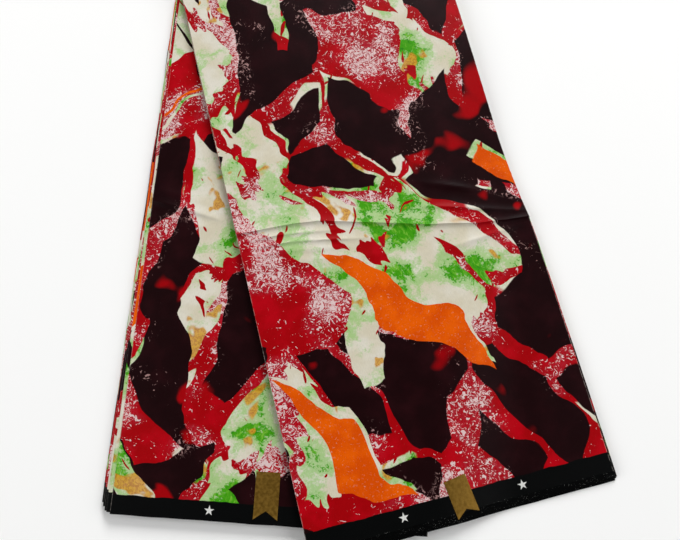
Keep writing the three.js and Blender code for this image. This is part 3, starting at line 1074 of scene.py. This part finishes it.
def makeFoil():
    material, tree = emptyMaterial("labelFoil")
    place = put(tree, "TexCoord").outputs["Object"]
    scuffs = cloudy(tree, place, **foilFinish["scuffs"])
    colour = painted(tree, edgeStep(tree, scuffs, *foilFinish["wornEdge"]), foilFinish["worn"],
                     foilFinish["gold"])
    rough = ranged(tree, scuffs, foilFinish["noiseRange"], foilFinish["roughness"])
    grain = cloudy(tree, place, foilFinish["grainScale"])
    bump = put(tree, "Bump", None, {
        "Strength": foilFinish["grainStrength"], "Distance": foilFinish["grain"], "Height": grain})
    shader = put(tree, "BsdfPrincipled", None, {
        "Base Color": colour, "Roughness": rough, "Metallic": foilFinish["metal"],
        "Normal": bump.outputs[0]})
    put(tree, "OutputMaterial", None, {"Surface": shader.outputs[0]})
    return material


cotton = makeCotton()
foil = makeFoil()
for piece, finish in (
        (upper, cotton), (lower, cotton), (plies, cotton), (upperLabel, foil), (lowerLabel, foil)):
    piece.data.materials.clear()
    piece.data.materials.append(finish)
print("print and foil mixed")

for piece, node, slot in (
        (upper, "front_leaf", "printed_cotton"), (lower, "back_leaf", "printed_cotton"),
        (plies, "hidden_layers", "printed_cotton"), (upperLabel, "front_label", "label_foil"),
        (lowerLabel, "back_label", "label_foil")):
    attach(piece, "root")
    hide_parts(node)


studio = {
    "floor": ink(250, 250, 249),
    "floorSize": 60.0,
    "floorDrop": 0.0003,
    "floorRoughness": 0.9,
    "farFloor": {"from": 1.0, "to": 5.0, "glow": 0.82},
    "world": 0.14,
    "backdrop": 0.95,
    "worldColour": (1.0, 1.0, 1.0, 1.0),
    "key": {"at": (1.2, 5.1, 3.5), "size": 2.6, "power": 326.0},
    "fill": {"at": (-2.8, -0.1, 2.2), "size": 2.4, "power": 54.0},
    "side": {"at": (3.0, 0.0, 2.2), "size": 2.4, "power": 51.0},
}

bpy.ops.object.select_all(action="DESELECT")
bpy.ops.mesh.primitive_plane_add(size=studio["floorSize"], location=(0, 0, -studio["floorDrop"]))
ground = bpy.context.object
ground.name = "paleFloor"
ground.data.transform(ground.matrix_world)
ground.matrix_world.identity()

# the floor fades into the backdrop well away from the cloth
floorMaterial, floorTree = emptyMaterial("paleFloor")
floorSpot = put(floorTree, "TexCoord").outputs["Object"]
floorAway = put(floorTree, "VectorMath", {"operation": "LENGTH"}, {0: floorSpot}).outputs["Value"]
farFloor = studio["farFloor"]
floorGlow = calc(floorTree, "MULTIPLY", edgeStep(floorTree, floorAway, farFloor["from"], farFloor["to"]),
                 farFloor["glow"])
floorShader = put(floorTree, "BsdfPrincipled", None, {
    "Base Color": studio["floor"], "Roughness": studio["floorRoughness"],
    "Emission Color": studio["worldColour"], "Emission Strength": floorGlow})
put(floorTree, "OutputMaterial", None, {"Surface": floorShader.outputs[0]})
ground.data.materials.append(floorMaterial)

world = bpy.data.worlds.new("studio")
bpy.context.scene.world = world
world.use_nodes = True
backdrop = world.node_tree.nodes["Background"]
backdrop.inputs["Color"].default_value = studio["worldColour"]
seen = put(world.node_tree, "LightPath").outputs["Is Camera Ray"]
strength = ranged(world.node_tree, seen, (0, 1), (studio["world"], studio["backdrop"]))
world.node_tree.links.new(strength, backdrop.inputs["Strength"])

for name in ("key", "fill", "side"):
    lamp = studio[name]
    bpy.ops.object.light_add(type="AREA", location=lamp["at"])
    light = bpy.context.object
    light.name = name
    light.data.size = lamp["size"]
    light.data.energy = lamp["power"]
    light.rotation_euler = (Vector((0, 0, 0)) - light.location).to_track_quat("-Z", "Y").to_euler()

shot = {"at": (-0.02003, -0.20768, 0.716), "tilt": 13.43, "lens": 37.06, "sensor": 36, "nearest": 0.01}
bpy.ops.object.camera_add(location=shot["at"], rotation=(math.radians(shot["tilt"]), 0, 0))
camera = bpy.context.object
camera.data.lens = shot["lens"]
camera.data.sensor_width = shot["sensor"]
camera.data.clip_start = shot["nearest"]
bpy.context.scene.camera = camera
bpy.context.scene.view_settings.view_transform = "Standard"
print("studio ready")
